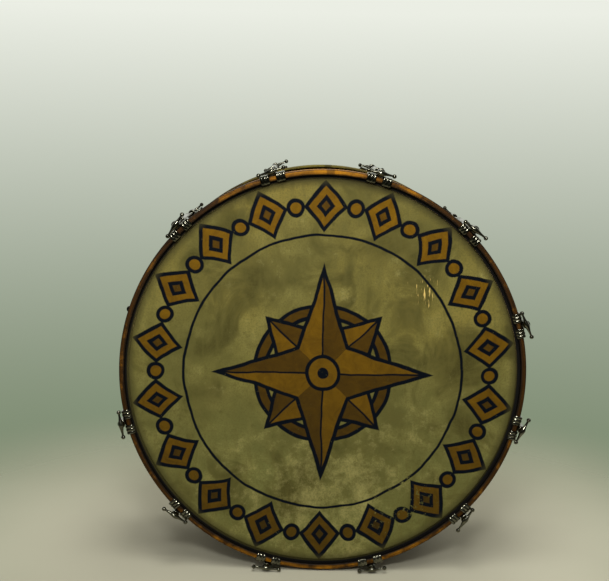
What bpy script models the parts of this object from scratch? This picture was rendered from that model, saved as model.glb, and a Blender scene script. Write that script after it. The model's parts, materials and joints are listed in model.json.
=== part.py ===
"""Marching drum, 28 inches across and 12 inches deep, standing on edge.

A wooden shell carries a calfskin head at each end. Each head is lapped on a flesh hoop, and a
wooden counterhoop presses that hoop down the shell. Double claws hook over the counterhoops, and
thumb rods draw the claws towards twelve tube lugs on the shell, so each head is tensioned by
itself. One claw and its rod are missing from the front, as on the real drum.

The drum's axis lies along Y with the front head towards -Y. The origin is on the ground, under
the middle of the drum. Each end has an empty whose +Z points out of the drum, with its zero on
the counterhoop's outer face. A claw and its rod are modelled about the rod's axis, with +X along
the rim, +Y away from the drum's axis and +Z out of the drum.
"""

import math

import bmesh
import bpy
from mathutils import Matrix

MM = 0.001
INCH = 0.0254

# Shell and reinforcing rings
SHELL_RADIUS = 14 * INCH
SHELL_DEPTH = 12 * INCH
SHELL_WALL = 6.0 * MM
BEARING_EDGE_WIDTH = 3.6 * MM
BEARING_EDGE_FALL = 1.8 * MM
INNER_EDGE_CHAMFER = 1.2 * MM
RING_WALL = 6.0 * MM
RING_WIDTH = 38.0 * MM
RING_SET_BACK = 1.8 * MM
RING_EDGE_SLOPE = 3.0 * MM

# Heads and flesh hoops
SKIN = 0.6 * MM
HEAD_SHOULDER = 3.6 * MM
HEAD_SHOULDER_FALL = 1.2 * MM
FLESH_HOOP_THICKNESS = 9.5 * MM
FLESH_HOOP_WIDTH = 11.0 * MM
FLESH_HOOP_DROP = 3.6 * MM
SKIN_TUCK = 8.0 * MM

# Counterhoops
HOOP_THICKNESS = 9.7 * MM
HOOP_WIDTH = 1.5 * INCH
HOOP_RABBET_WALL = 4.6 * MM
HOOP_PROUD = 8.0 * MM
HOOP_EDGE_CHAMFER = 1.2 * MM

# Claws
CLAW_STRAP = 4.0 * MM
PRONG_WIDTH = 15.2 * MM
PRONG_SPACING = 31.0 * MM
PRONG_ROUNDING = 1.8 * MM
PLATE_FRONT = 6.0 * MM
TIP_DEPTH = 2.6 * MM
TIP_THICKNESS = 2.2 * MM
COLLAR_RADIUS = 7.8 * MM
COLLAR_LENGTH = 24.0 * MM
COLLAR_PROUD = 3.6 * MM
COLLAR_CLEARANCE = 0.4 * MM

# Thumb rods
ROD_RADIUS = 0.125 * INCH
ROD_REACH_IN_LUG = 22.0 * MM
BOSS_RADIUS = 5.2 * MM
BOSS_LENGTH = 10.4 * MM
ARM_ROOT_RADIUS = 3.4 * MM
ARM_ROOT_REACH = 4.0 * MM
ARM_NECK_RADIUS = 2.1 * MM
BALL_RADIUS = 4.0 * MM
BALL_REACH = 24.0 * MM

# Tube lugs and their screws
LUG_TUBE_RADIUS = 6.35 * MM
LUG_LENGTH = 116.0 * MM
LUG_POST_RADIUS = 4.5 * MM
LUG_POST_SPACING = 76.0 * MM
LUG_BASE_RADIUS = 8.5 * MM
LUG_BASE_THICKNESS = 2.6 * MM
SCREW_HEAD_RADIUS = 4.6 * MM
SCREW_HEAD_HEIGHT = 2.6 * MM
BITE = 1.5 * MM

# Air vent
VENT_HOLE_RADIUS = 5.4 * MM
VENT_WALL = 0.9 * MM
VENT_FLANGE = 3.4 * MM
VENT_ANGLE = 90.0

# Twelve rod positions, counted anticlockwise from the right as each end is seen from outside.
# Each turn is how far that handle stands from the rim's own direction, in degrees. None is the
# place of the missing claw and rod.
ROD_COUNT = 12
FIRST_ROD_ANGLE = 15.0
FRONT_TURNS = (9.2, 7.2, 1.6, 4.3, 11.8, None, -5.1, 13.1, 9.4, -6.4, 12.3, -12.4)
REAR_TURNS = (5.0, 1.0, -10.0, -4.0, 3.0, 4.0, -6.0, 12.0, 8.0, -7.5, 8.5, -13.2)

# Clearances
FIT = 0.3 * MM
RUNNING_FIT = 0.35 * MM

# Facets
RIM_STEPS = 60
BAR_STEPS = 12
SMALL_STEPS = 8

# Radii and heights that follow from the sizes
SHELL_INNER = SHELL_RADIUS - SHELL_WALL
SKIRT_RADIUS = SHELL_RADIUS + FIT
FLESH_INNER = SKIRT_RADIUS + SKIN + FIT
FLESH_OUTER = FLESH_INNER + FLESH_HOOP_THICKNESS
LAP_RADIUS = FLESH_OUTER + FIT + SKIN
RABBET_RADIUS = LAP_RADIUS + FIT
HOOP_RADIUS = RABBET_RADIUS + HOOP_RABBET_WALL
HOOP_INNER = HOOP_RADIUS - HOOP_THICKNESS
HOOP_FACE = SHELL_DEPTH / 2 + FIT + SKIN + HOOP_PROUD
HEAD_TOP = -HOOP_PROUD
LAP_TOP = HEAD_TOP - FLESH_HOOP_DROP
FLESH_TOP = LAP_TOP - SKIN - FIT
FLESH_BOTTOM = FLESH_TOP - FLESH_HOOP_WIDTH
LAP_BOTTOM = FLESH_BOTTOM - FIT - SKIN
LIP_BOTTOM = LAP_TOP + FIT
ROD_CIRCLE = HOOP_RADIUS + COLLAR_CLEARANCE + COLLAR_RADIUS
BORE_RADIUS = (ROD_RADIUS + RUNNING_FIT) / math.cos(math.pi / BAR_STEPS)
BOSS_BOTTOM = COLLAR_PROUD + FIT
HANDLE_PLANE = BOSS_BOTTOM + BOSS_LENGTH / 2
ROD_DEPTH = HOOP_FACE - LUG_LENGTH / 2 + ROD_REACH_IN_LUG
ROD_ANGLES = [FIRST_ROD_ANGLE + 360.0 / ROD_COUNT * i for i in range(ROD_COUNT)]
LOWEST_ROD = ROD_CIRCLE * max(-math.sin(math.radians(angle)) for angle in ROD_ANGLES)
AXIS_HEIGHT = LOWEST_ROD + COLLAR_RADIUS


def facet_middle(radius):
    """Distance from the drum's axis to the middle of a facet of a ring with this radius."""
    return radius * math.cos(math.pi / RIM_STEPS)


def new_collection(name):
    collection = bpy.data.collections.new(name)
    bpy.context.scene.collection.children.link(collection)
    return collection


def new_material(name, colour, metallic, roughness):
    material = bpy.data.materials.new(name)
    material.use_nodes = True
    shader = material.node_tree.nodes["Principled BSDF"]
    shader.inputs["Base Color"].default_value = (*colour, 1.0)
    shader.inputs["Metallic"].default_value = metallic
    shader.inputs["Roughness"].default_value = roughness
    return material


def add_object(name, mesh, collection, material=None, parent=None):
    item = bpy.data.objects.new(name, mesh)
    collection.objects.link(item)
    if material is not None and not mesh.materials:
        mesh.materials.append(material)
    item.parent = parent
    return item


def shade(mesh):
    """Smooth shading that keeps edges sharper than forty degrees."""
    mesh.shade_smooth()
    mesh.set_sharp_from_angle(angle=math.radians(40))


def take_mesh(item, name):
    """The object's mesh after its modifiers, with seams welded. The object itself goes."""
    graph = bpy.context.evaluated_depsgraph_get()
    mesh = bpy.data.meshes.new_from_object(item.evaluated_get(graph), depsgraph=graph)
    mesh.name = name
    work = bmesh.new()
    work.from_mesh(mesh)
    bmesh.ops.remove_doubles(work, verts=work.verts, dist=1e-6)
    work.to_mesh(mesh)
    work.free()
    bpy.data.objects.remove(item, do_unlink=True)
    return mesh


def cylinder(name, radius, low, high, steps, place=Matrix()):
    """A capped cylinder along Z from low to high."""
    mesh = bpy.data.meshes.new(name)
    work = bmesh.new()
    middle = Matrix.Translation((0, 0, (low + high) / 2))
    bmesh.ops.create_cone(work, cap_ends=True, segments=steps, radius1=radius, radius2=radius,
                          depth=high - low, matrix=place @ middle)
    work.to_mesh(mesh)
    work.free()
    return add_object(name, mesh, tools)


def block(name, low, high):
    """A box between two opposite corners."""
    mesh = bpy.data.meshes.new(name)
    work = bmesh.new()
    size = [b - a for a, b in zip(low, high)]
    middle = [(a + b) / 2 for a, b in zip(low, high)]
    shape = Matrix.Translation(middle) @ Matrix.Diagonal((*size, 1.0))
    bmesh.ops.create_cube(work, size=1.0, matrix=shape)
    work.to_mesh(mesh)
    work.free()
    return add_object(name, mesh, tools)


def turned(name, profile, steps, collection, material=None, parent=None, closed=True):
    """A shape turned about Z from (radius, height) points that run down its outer side."""
    mesh = bpy.data.meshes.new(name)
    points = [(radius, 0.0, height) for radius, height in profile]
    edges = [(i, i + 1) for i in range(len(points) - 1)]
    if closed:
        edges.append((len(points) - 1, 0))
    mesh.from_pydata(points, edges, [])
    item = add_object(name, mesh, collection, material, parent)
    screw = item.modifiers.new("turning", "SCREW")
    screw.axis = "Z"
    screw.angle = 2 * math.pi
    screw.steps = steps
    screw.render_steps = steps
    screw.use_merge_vertices = True
    screw.merge_threshold = 1e-5
    screw.use_smooth_shade = False
    return item


def extruded(name, outline, width, place):
    """A flat outline of (across, up) points given a width, as a mesh object."""
    curve = bpy.data.curves.new(name, "CURVE")
    curve.dimensions = "2D"
    curve.fill_mode = "BOTH"
    curve.extrude = width / 2
    spline = curve.splines.new("POLY")
    spline.points.add(len(outline) - 1)
    for point, (across, up) in zip(spline.points, outline):
        point.co = (across, up, 0.0, 1.0)
    spline.use_cyclic_u = True
    mesh = take_mesh(add_object(name, curve, tools), name)
    mesh.transform(place)
    return add_object(name, mesh, tools)


def combine(name, base, others, operation):
    """One mesh from a base joined with, or cut by, other objects. The objects go."""
    for other in others:
        change = base.modifiers.new(other.name, "BOOLEAN")
        change.operation = operation
        change.solver = "EXACT"
        change.object = other
    mesh = take_mesh(base, name)
    for other in others:
        bpy.data.objects.remove(other, do_unlink=True)
    return mesh


def end_frame(name, facing):
    """An empty on the drum's axis at a counterhoop's outer face, with +Z out of the drum."""
    frame = bpy.data.objects.new(name, None)
    parts.objects.link(frame)
    frame.location = (0.0, facing * HOOP_FACE, AXIS_HEIGHT)
    frame.rotation_euler = (math.pi / 2, 0.0, 0.0 if facing < 0 else math.pi)
    return frame


def rim_matrix(angle, radius=ROD_CIRCLE):
    """A place on a circle round the drum's axis, with its +Y away from the axis."""
    spot = Matrix.Rotation(math.radians(angle - 90.0), 4, "Z")
    return spot @ Matrix.Translation((0, radius, 0))


for item in list(bpy.data.objects):
    bpy.data.objects.remove(item, do_unlink=True)
parts = new_collection("marching_drum")
tools = new_collection("cutters")

stained_wood = new_material("stained_shell", (0.24, 0.10, 0.035), 0.0, 0.45)
hoop_wood = new_material("hoop_wood", (0.36, 0.17, 0.05), 0.0, 0.4)
pale_wood = new_material("pale_wood", (0.62, 0.46, 0.28), 0.0, 0.7)
calfskin = new_material("calfskin", (0.56, 0.50, 0.33), 0.0, 0.65)
nickel = new_material("nickel_plate", (0.60, 0.58, 0.53), 1.0, 0.3)
brass = new_material("brass", (0.66, 0.50, 0.22), 1.0, 0.35)

front = end_frame("front_end", -1)
rear = end_frame("rear_end", 1)
middle = bpy.data.objects.new("middle", None)
parts.objects.link(middle)
middle.location = (0.0, 0.0, AXIS_HEIGHT)
middle.rotation_euler = (math.pi / 2, 0.0, 0.0)
OUTWARD = Matrix.Rotation(-math.pi / 2, 4, "X")


# Shell: a bent wooden cylinder whose outer edges are rounded to carry the heads.
def plain_shell():
    edge = SHELL_DEPTH / 2
    half = [
        (SHELL_INNER, edge - INNER_EDGE_CHAMFER),
        (SHELL_INNER + INNER_EDGE_CHAMFER, edge),
        (SHELL_RADIUS - BEARING_EDGE_WIDTH, edge),
        (SHELL_RADIUS, edge - BEARING_EDGE_FALL),
    ]
    profile = half + [(radius, -height) for radius, height in reversed(half)]
    return turned("plain_shell", profile, RIM_STEPS, tools)


# Tube lugs: a tube that takes a rod from each end, on two posts that stand on round bases. A
# screw through the shell holds each post, and its round head shows inside the shell.
def lug_mesh():
    seat = facet_middle(SHELL_RADIUS) - ROD_CIRCLE
    inside = facet_middle(SHELL_INNER) - ROD_CIRCLE
    tube = cylinder("tube", LUG_TUBE_RADIUS, -LUG_LENGTH / 2, LUG_LENGTH / 2, BAR_STEPS)
    posts = []
    for end in (-1, 1):
        place = Matrix.Translation((0, 0, end * LUG_POST_SPACING / 2)) @ OUTWARD
        posts.append(cylinder("post", LUG_POST_RADIUS, seat - BITE, -BORE_RADIUS, SMALL_STEPS, place))
        posts.append(cylinder("base", LUG_BASE_RADIUS, seat - SHELL_WALL / 2,
                              seat + LUG_BASE_THICKNESS, BAR_STEPS, place))
        posts.append(cylinder("screw_head", SCREW_HEAD_RADIUS, inside - SCREW_HEAD_HEIGHT,
                              seat - BITE, SMALL_STEPS, place))
    body = add_object("lug_body", combine("lug_body", tube, posts, "UNION"), tools)
    bore = cylinder("lug_bore", BORE_RADIUS, -LUG_LENGTH, LUG_LENGTH, BAR_STEPS)
    return combine("lug", body, [bore], "DIFFERENCE")


def lugs_round_shell():
    """Twelve lugs as one object, ready to be joined to the shell."""
    lug = lug_mesh()
    work = bmesh.new()
    for angle in ROD_ANGLES:
        copy = lug.copy()
        copy.transform(rim_matrix(angle))
        work.from_mesh(copy)
        bpy.data.meshes.remove(copy)
    mesh = bpy.data.meshes.new("lugs")
    work.to_mesh(mesh)
    work.free()
    return add_object("lugs", mesh, tools)


def vent_matrix():
    """The vent hole's axis, with +Z away from the drum's axis."""
    return rim_matrix(VENT_ANGLE, radius=0.0) @ OUTWARD


def shell_and_lugs():
    joined = combine("shell_with_lugs", plain_shell(), [lugs_round_shell()], "UNION")
    drill = cylinder("vent_drill", VENT_HOLE_RADIUS, SHELL_INNER - SHELL_WALL,
                     SHELL_RADIUS + SHELL_WALL, BAR_STEPS, vent_matrix())
    undrilled = add_object("undrilled_shell", joined, tools)
    mesh = combine("shell_and_lugs", undrilled, [drill], "DIFFERENCE")
    shade(mesh)
    return add_object("shell_and_lugs", mesh, parts, stained_wood, middle)


shell_and_lugs()


# Air vent: a brass eyelet rolled over both sides of its hole in the shell.
def air_vent():
    outer = VENT_HOLE_RADIUS * math.cos(math.pi / BAR_STEPS) - RUNNING_FIT
    flange = VENT_HOLE_RADIUS + VENT_FLANGE
    above = SHELL_RADIUS + FIT
    below = facet_middle(SHELL_INNER) - FIT
    profile = [
        (flange, above + VENT_WALL),
        (flange, above),
        (outer, above),
        (outer, below),
        (flange, below),
        (flange, below - VENT_WALL),
        (outer - VENT_WALL, below - VENT_WALL),
        (outer - VENT_WALL, above + VENT_WALL),
    ]
    mesh = take_mesh(turned("eyelet", profile, BAR_STEPS, tools), "air_vent")
    mesh.transform(vent_matrix())
    shade(mesh)
    return add_object("air_vent", mesh, parts, brass, middle)


air_vent()


# Reinforcing rings: glued inside the shell, with edges that slope away from the heads.
def reinforcing_ring(name, facing):
    outer = facet_middle(SHELL_INNER) - FIT
    end = SHELL_DEPTH / 2 - RING_SET_BACK
    profile = [
        (outer, end),
        (outer, end - RING_WIDTH),
        (outer - RING_WALL, end - RING_WIDTH),
        (outer - RING_WALL, end - RING_EDGE_SLOPE),
    ]
    ring = turned(name, profile, RIM_STEPS, parts, pale_wood, middle)
    ring.rotation_euler = (math.pi if facing > 0 else 0.0, 0.0, 0.0)
    return ring


reinforcing_ring("front_reinforcing_ring", -1)
reinforcing_ring("rear_reinforcing_ring", 1)


# Heads: a skin drawn flat over the shell, down its side and round the flesh hoop.
def head(name, frame):
    shoulder = SKIRT_RADIUS + SKIN - HEAD_SHOULDER
    drop = HEAD_TOP - HEAD_SHOULDER_FALL
    profile = [
        (0.0, HEAD_TOP),
        (shoulder, HEAD_TOP),
        (SKIRT_RADIUS + SKIN, drop),
        (SKIRT_RADIUS + SKIN, LAP_BOTTOM + SKIN),
        (LAP_RADIUS - SKIN, LAP_BOTTOM + SKIN),
        (LAP_RADIUS - SKIN, LAP_TOP - SKIN),
        (LAP_RADIUS - SKIN_TUCK, LAP_TOP - SKIN),
        (LAP_RADIUS - SKIN_TUCK, LAP_TOP),
        (LAP_RADIUS, LAP_TOP),
        (LAP_RADIUS, LAP_BOTTOM),
        (SKIRT_RADIUS, LAP_BOTTOM),
        (SKIRT_RADIUS, drop - SKIN),
        (shoulder - SKIN / 2, HEAD_TOP - SKIN),
        (0.0, HEAD_TOP - SKIN),
    ]
    return turned(name, profile, RIM_STEPS, parts, calfskin, frame, closed=False)


# Flesh hoops: the plain wooden hoop inside each lapped skin.
def flesh_hoop(name, frame):
    profile = [
        (FLESH_OUTER, FLESH_TOP),
        (FLESH_OUTER, FLESH_BOTTOM),
        (FLESH_INNER, FLESH_BOTTOM),
        (FLESH_INNER, FLESH_TOP),
    ]
    return turned(name, profile, RIM_STEPS, parts, pale_wood, frame)


# Counterhoops: a bent wooden hoop, rabbeted so that its lip presses on the lapped flesh hoop.
def counterhoop(name, frame):
    profile = [
        (HOOP_RADIUS, -HOOP_EDGE_CHAMFER),
        (HOOP_RADIUS, -HOOP_WIDTH),
        (RABBET_RADIUS, -HOOP_WIDTH),
        (RABBET_RADIUS, LIP_BOTTOM),
        (HOOP_INNER, LIP_BOTTOM),
        (HOOP_INNER, -HOOP_EDGE_CHAMFER),
        (HOOP_INNER + HOOP_EDGE_CHAMFER, 0.0),
        (HOOP_RADIUS - HOOP_EDGE_CHAMFER, 0.0),
    ]
    return turned(name, profile, RIM_STEPS, parts, hoop_wood, frame)


for side, frame in (("front", front), ("rear", rear)):
    head(side + "_head", frame)
    flesh_hoop(side + "_flesh_hoop", frame)
    counterhoop(side + "_counterhoop", frame)


# Claws: two prongs hook over the counterhoop, from a plate that carries the rod's collar.
def claw_mesh():
    inner = HOOP_RADIUS + FIT - ROD_CIRCLE
    outer = inner + CLAW_STRAP
    top = FIT + CLAW_STRAP
    half_span = (PRONG_SPACING + PRONG_WIDTH) / 2
    sag = HOOP_INNER - math.sqrt(HOOP_INNER ** 2 - half_span ** 2)
    hoop_edge = facet_middle(HOOP_INNER) - sag - FIT - ROD_CIRCLE
    tip = hoop_edge - TIP_THICKNESS
    outline = [
        (outer, -COLLAR_LENGTH),
        (outer, top - PRONG_ROUNDING),
        (outer - PRONG_ROUNDING, top),
        (tip + PRONG_ROUNDING, top),
        (tip, top - PRONG_ROUNDING),
        (tip, FIT - TIP_DEPTH),
        (hoop_edge, FIT - TIP_DEPTH),
        (hoop_edge, FIT),
        (inner, FIT),
        (inner, -COLLAR_LENGTH),
    ]
    side_on = Matrix(((0, 0, 1, 0), (1, 0, 0, 0), (0, 1, 0, 0), (0, 0, 0, 1)))
    shapes = []
    for side in (-1, 1):
        place = Matrix.Translation((side * PRONG_SPACING / 2, 0, 0)) @ side_on
        shapes.append(extruded("prong", outline, PRONG_WIDTH, place))
    shapes.append(cylinder("collar", COLLAR_RADIUS, -COLLAR_LENGTH, COLLAR_PROUD, BAR_STEPS))
    plate = block("plate", (-PRONG_SPACING / 2, inner, -COLLAR_LENGTH),
                  (PRONG_SPACING / 2, outer, -PLATE_FRONT))
    body = add_object("claw_body", combine("claw_body", plate, shapes, "UNION"), tools)
    bore = cylinder("claw_bore", BORE_RADIUS, -2 * COLLAR_LENGTH, COLLAR_LENGTH, BAR_STEPS)
    mesh = combine("claw", body, [bore], "DIFFERENCE")
    shade(mesh)
    return mesh


# Thumb rods: a steel rod with a round boss, and a cast cross handle with ball ends.
def rod_mesh():
    ring = BALL_RADIUS * math.sqrt(0.5)
    half = [
        (0.0, BALL_REACH + BALL_RADIUS),
        (ring, BALL_REACH + ring),
        (BALL_RADIUS, BALL_REACH),
        (ARM_NECK_RADIUS, BALL_REACH - BALL_RADIUS),
        (ARM_ROOT_RADIUS, ARM_ROOT_REACH),
    ]
    profile = half + [(radius, -height) for radius, height in reversed(half)]
    bar = take_mesh(turned("handle", profile, SMALL_STEPS, tools, closed=False), "handle")
    bar.transform(Matrix.Translation((0, 0, HANDLE_PLANE)) @ Matrix.Rotation(math.pi / 2, 4, "Y"))
    boss = cylinder("boss", BOSS_RADIUS, BOSS_BOTTOM, BOSS_BOTTOM + BOSS_LENGTH, BAR_STEPS)
    shank = cylinder("shank", ROD_RADIUS, -ROD_DEPTH, HANDLE_PLANE, SMALL_STEPS)
    mesh = combine("thumb_rod", add_object("bar", bar, tools), [boss, shank], "UNION")
    shade(mesh)
    return mesh


def place_on_rim(item, angle, turn):
    item.location = rim_matrix(angle).to_translation()
    item.rotation_euler = (0.0, 0.0, math.radians(angle - 90.0 + turn))


claw = claw_mesh()
thumb_rod = rod_mesh()
for side, frame, turns in (("front", front, FRONT_TURNS), ("rear", rear, REAR_TURNS)):
    for number, (angle, turn) in enumerate(zip(ROD_ANGLES, turns), start=1):
        if turn is None:
            continue
        claw_object = add_object(f"{side}_claw_{number:02d}", claw, parts, nickel, frame)
        place_on_rim(claw_object, angle, 0.0)
        rod_object = add_object(f"{side}_thumb_rod_{number:02d}", thumb_rod, parts, nickel, frame)
        place_on_rim(rod_object, angle, turn)
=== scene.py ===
"""Looks for a vintage marching drum that stands on its edge on a pale floor."""
import json
import math

import bmesh
import bpy
import numpy as np
from mathutils import Matrix, Vector


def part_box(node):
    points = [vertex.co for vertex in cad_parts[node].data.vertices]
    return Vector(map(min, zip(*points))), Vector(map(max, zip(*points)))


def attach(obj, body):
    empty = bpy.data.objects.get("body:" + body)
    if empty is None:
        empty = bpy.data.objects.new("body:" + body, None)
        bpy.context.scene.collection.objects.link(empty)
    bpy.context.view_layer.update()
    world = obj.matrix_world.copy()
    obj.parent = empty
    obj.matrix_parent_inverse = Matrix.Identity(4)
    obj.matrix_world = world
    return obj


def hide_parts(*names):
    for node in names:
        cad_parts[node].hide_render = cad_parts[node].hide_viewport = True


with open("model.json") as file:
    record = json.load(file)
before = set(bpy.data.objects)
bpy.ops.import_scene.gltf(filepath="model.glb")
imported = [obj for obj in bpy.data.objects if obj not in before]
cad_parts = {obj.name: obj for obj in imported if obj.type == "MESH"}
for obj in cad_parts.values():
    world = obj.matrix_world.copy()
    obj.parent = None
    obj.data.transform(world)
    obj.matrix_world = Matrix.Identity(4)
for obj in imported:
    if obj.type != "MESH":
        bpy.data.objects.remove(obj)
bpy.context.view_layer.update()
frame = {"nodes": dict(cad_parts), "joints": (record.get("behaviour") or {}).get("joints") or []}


# Shell: maple plies bent into a cylinder, stained red brown and lacquered. Both edges are rounded,
# because the heads are drawn over them. A hole at the top takes the air vent.
MM = 0.001
INCH = 0.0254
SHELL_RADIUS = 14 * INCH
SHELL_HALF_DEPTH = 6 * INCH
SHELL_WALL = 6.0 * MM
SHELL_EDGE_ROUNDING = 3.0 * MM
SHELL_FACET = 12.0 * MM
VENT_HOLE_RADIUS = 5.4 * MM
ROUND_STEPS = 360
hoop_low, hoop_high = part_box("front_counterhoop")
AXIS_HEIGHT = (hoop_low.z + hoop_high.z) / 2
HOOP_RADIUS = (hoop_high.x - hoop_low.x) / 2
HOOP_FACE = -hoop_low.y
MIDDLE = Matrix.Translation((0, 0, AXIS_HEIGHT)) @ Matrix.Rotation(math.pi / 2, 4, "X")


def rounded(outline, radius, steps=5, closed=True):
    """An outline whose corners are curves: each is a quadratic that starts one radius before the
    corner, ends one radius after it and is drawn towards it. An open outline keeps its two ends."""
    points = np.asarray(outline, float)
    sides = [np.roll(points, shift, axis=0) - points for shift in (1, -1)]
    lengths = [np.linalg.norm(side, axis=1, keepdims=True) for side in sides]
    cuts = [side * np.minimum(radius / length, 0.45) for side, length in zip(sides, lengths)]
    if not closed:
        for cut in cuts:
            cut[[0, -1]] = 0.0
    t = np.linspace(0.0, 1.0, steps)[None, :, None]
    start = (points + cuts[0])[:, None]
    end = (points + cuts[1])[:, None]
    curve = ((1 - t) ** 2 * start + 2 * t * (1 - t) * points[:, None] + t ** 2 * end).reshape(-1, 2)
    return curve if closed else curve[steps - 1:1 - steps]


def divided(outline, step):
    """A closed outline with points added so that none lies further than a step from the next."""
    sides = np.roll(outline, -1, axis=0) - outline
    counts = np.ceil(np.linalg.norm(sides, axis=1) / step).astype(int).clip(1)
    share = np.concatenate([np.arange(count) / count for count in counts])[:, None]
    return np.repeat(outline, counts, axis=0) + share * np.repeat(sides, counts, axis=0)


def turned(profile, steps):
    """A grid whose rows are a profile of (radius, height) points turned about Z."""
    angle = np.linspace(0.0, 2 * np.pi, steps, endpoint=False)[:, None]
    radius, height = np.asarray(profile, float).T
    return np.stack((radius * np.cos(angle), radius * np.sin(angle), height + 0 * angle), axis=-1)


def placed(points, matrix):
    """Points turned and moved by a matrix."""
    matrix = np.array(matrix)
    return points @ matrix[:3, :3].T + matrix[:3, 3]


def surface(name, *grids):
    """A closed mesh from grids of points. A grid's rows close into a ring, and so do its columns
    unless the first column is drawn together into a pole, where the last one is too."""
    corners, faces, count = [], [], 0
    for points in grids:
        rows, columns = points.shape[:2]
        index = count + np.arange(rows * columns).reshape(rows, columns)
        index = np.vstack((index, index[:1]))
        if np.ptp(points[:, 0], axis=0).max() > 1e-7:
            index = np.hstack((index, index[:, :1]))
        quads = (index[:-1, :-1], index[1:, :-1], index[1:, 1:], index[:-1, 1:])
        faces.append(np.stack(quads, axis=-1).reshape(-1, 4))
        corners.append(points.reshape(-1, 3))
        count += rows * columns
    corners, faces = np.concatenate(corners), np.concatenate(faces)
    mesh = bpy.data.meshes.new(name)
    mesh.vertices.add(len(corners))
    mesh.vertices.foreach_set("co", corners.ravel())
    mesh.loops.add(faces.size)
    mesh.loops.foreach_set("vertex_index", faces.ravel())
    mesh.polygons.add(len(faces))
    mesh.polygons.foreach_set("loop_start", np.arange(0, faces.size, 4))
    mesh.update(calc_edges=True)
    work = bmesh.new()
    work.from_mesh(mesh)
    bmesh.ops.remove_doubles(work, verts=work.verts, dist=1e-7)
    bmesh.ops.recalc_face_normals(work, faces=work.faces)
    work.to_mesh(mesh)
    work.free()
    mesh.shade_smooth()
    mesh.set_sharp_from_angle(angle=math.radians(40))
    piece = bpy.data.objects.new(name, mesh)
    bpy.context.scene.collection.objects.link(piece)
    return piece


def fix(piece, material, slot, body, *replaced):
    """Gives a piece its finish and the body that it moves with, in place of CAD nodes."""
    piece.data.materials.append(material)
    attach(piece, body)
    if replaced:
        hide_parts(*replaced)


def to_linear(hex_colour):
    """A sRGB hex colour as linear RGBA."""
    channels = [int(hex_colour[i:i + 2], 16) / 255 for i in (1, 3, 5)]
    linear = [c / 12.92 if c <= 0.04045 else ((c + 0.055) / 1.055) ** 2.4 for c in channels]
    return (*linear, 1.0)


def add_node(tree, kind, *inputs, **named):
    """Adds a node and gives its first output. Inputs go in by their order or by name, as a value
    or as another node's output, and the other names are settings of the node itself."""
    node = tree.nodes.new("ShaderNode" + kind)
    labels = {socket.name.lower().replace(" ", "_") for socket in node.inputs}
    for key in [key for key in named if key not in labels]:
        setattr(node, key, named.pop(key))
    open_inputs = [socket for socket in node.inputs if socket.enabled]
    by_name = {socket.name.lower().replace(" ", "_"): socket for socket in open_inputs}
    pairs = list(zip(open_inputs, inputs)) + [(by_name[key], named[key]) for key in named]
    for socket, value in pairs:
        if isinstance(value, bpy.types.NodeSocket):
            tree.links.new(value, socket)
        elif isinstance(value, str):
            socket.default_value = to_linear(value)
        elif value is not None:
            socket.default_value = value
    return next(socket for socket in node.outputs if socket.enabled)


def new_material(name):
    """A material, its node tree, its shader, and object coordinates moved to the drum's axis."""
    material = bpy.data.materials.new(name)
    material.use_nodes = True
    tree = material.node_tree
    place = add_node(tree, "TexCoord").node.outputs["Object"]
    centred = add_node(tree, "Mapping", place, location=(0, 0, -AXIS_HEIGHT))
    return material, tree, tree.nodes["Principled BSDF"], centred


def blend(tree, low, high, factor, start=0.0, end=1.0):
    """A colour that goes from low to high as the factor goes from start to end."""
    share = add_node(tree, "MapRange", factor, start, end, 0.0, 1.0)
    return add_node(tree, "Mix", share, low, high, data_type="RGBA")


def from_axis(tree, centred):
    """The distance of a place from the drum's axis."""
    flat = add_node(tree, "VectorMath", centred, (1.0, 0.0, 1.0), operation="MULTIPLY")
    return add_node(tree, "VectorMath", flat, operation="LENGTH")


def grain_round_the_drum(tree, centred, across, along):
    """Streaks of wood grain that run round the drum. The noise has four dimensions, the fourth one
    being the distance from the drum's axis, so that the streaks meet themselves without a seam."""
    stretched = add_node(tree, "VectorMath", centred, (1 / along, 1 / across, 1 / along),
                         operation="MULTIPLY")
    depth = add_node(tree, "Math", from_axis(tree, centred), 1 / across, operation="MULTIPLY")
    return add_node(tree, "TexNoise", stretched, depth, noise_dimensions="4D", scale=1.0, detail=4.0,
                    roughness=0.6)


def varnished_wood(name, dark, middle, light, across, along, roughness):
    """Wood under a worn varnish: grain streaks, larger faded patches, and pores that dent it."""
    material, tree, shader, centred = new_material(name)
    grain = grain_round_the_drum(tree, centred, across, along)
    patches = add_node(tree, "TexNoise", centred, scale=22.0, detail=5.0, roughness=0.6)
    colour = blend(tree, dark, middle, grain, 0.38, 0.60)
    colour = blend(tree, colour, light, patches, 0.52, 0.80)
    tree.links.new(colour, shader.inputs["Base Color"])
    gloss = add_node(tree, "MapRange", patches, 0.3, 0.7, roughness, roughness + 0.2)
    tree.links.new(gloss, shader.inputs["Roughness"])
    bump = add_node(tree, "Bump", height=grain, distance=0.25 * MM, strength=0.5)
    tree.links.new(bump, shader.inputs["Normal"])
    return material


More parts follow.
